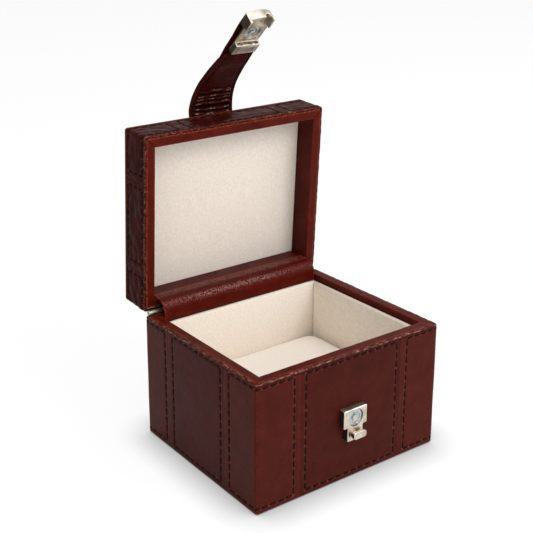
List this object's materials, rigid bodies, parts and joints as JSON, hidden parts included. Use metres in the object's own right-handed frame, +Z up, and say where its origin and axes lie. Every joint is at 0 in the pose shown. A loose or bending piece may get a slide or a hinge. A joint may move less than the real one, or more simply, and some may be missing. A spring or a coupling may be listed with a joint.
{
  "type": "pocket watch display box",
  "caption": "Small lidded leather box for a pocket watch, lined in pale suede with a cushion, with a piano hinge and a folding strap with a magnetic clasp.",
  "frame": {"origin": "centre of the case's underside", "axes": "+X along the front to the viewer's right, -Y out of the front where the catch is, +Z up"},
  "size_m": [0.1, 0.1086, 0.1939],
  "materials": {
    "leather": "polished oxblood hide with fine grain",
    "rim_leather": "burnished oxblood hide, worn lighter on its edges",
    "strap_leather": "polished dark oxblood hide, wrinkled where it bends",
    "board": "plain sanded board, glued",
    "suede": "cream suede with a short nap",
    "nickel": "polished warm nickel plate",
    "magnet": "satin plated magnet",
    "steel": "plain rolled steel"
  },
  "bodies": {
    "case": {"base_board": "board", "base_cover": "leather", "case_front_board": "board", "case_front_panel": "leather", "case_front_rim": "rim_leather", "lining_front": "suede", "case_back_board": "board", "case_back_panel": "leather", "case_back_rim": "rim_leather", "lining_back": "suede", "case_left_board": "board", "case_left_panel": "leather", "case_left_rim": "rim_leather", "lining_left": "suede", "case_right_board": "board", "case_right_panel": "leather", "case_right_rim": "rim_leather", "lining_right": "suede", "case_front_left_corner": "leather", "case_front_right_corner": "leather", "case_back_left_corner": "leather", "case_back_right_corner": "leather", "cushion": "suede", "hinge_case_leaf": "steel", "hinge_case_screws": "steel", "hinge_pin": "steel", "hinge_cover": "rim_leather", "catch_plate": "nickel", "catch_magnet": "magnet", "catch_rivets": "nickel", "catch_stud": "nickel"},
    "lid": {"lid_top_board": "board", "lid_top_leather": "leather", "lid_lining_panel": "suede", "hinge_lid_leaf": "steel", "hinge_lid_screws": "steel", "strap_base": "strap_leather", "lid_front_board": "board", "lid_front_panel": "leather", "lid_front_rim": "rim_leather", "lid_back_board": "board", "lid_back_panel": "leather", "lid_back_rim": "rim_leather", "lid_left_board": "board", "lid_left_panel": "leather", "lid_left_rim": "rim_leather", "lid_right_board": "board", "lid_right_panel": "leather", "lid_right_rim": "rim_leather", "lid_front_left_corner": "leather", "lid_front_right_corner": "leather", "lid_back_left_corner": "leather", "lid_back_right_corner": "leather"},
    "strap_lower": {"strap_lower": "strap_leather"},
    "strap_upper": {"strap_upper": "strap_leather", "strap_clamp": "nickel", "clasp_body": "nickel", "clasp_magnet": "magnet", "clasp_rivets": "nickel"}
  },
  "joints": [
    {"name": "lid_hinge", "type": "hinge", "parent": "case", "child": "lid", "pos_m": [0, 0.0421, 0.0588], "axis": [1, 0, 0], "range_deg": [0, 86.7]},
    {"name": "strap_fold", "type": "hinge", "parent": "lid", "child": "strap_lower", "pos_m": [0, 0.05777, 0.14485], "axis": [1, 0, 0], "range_deg": [-12, 62.5]},
    {"name": "strap_flex", "type": "hinge", "parent": "strap_lower", "child": "strap_upper", "pos_m": [0, 0.04874, 0.16332], "axis": [1, 0, 0], "range_deg": [-16.3, 3.2]}
  ],
  "couplings": [
    {"joint": "strap_flex", "follows": "strap_fold", "ratio": -0.26}
  ]
}
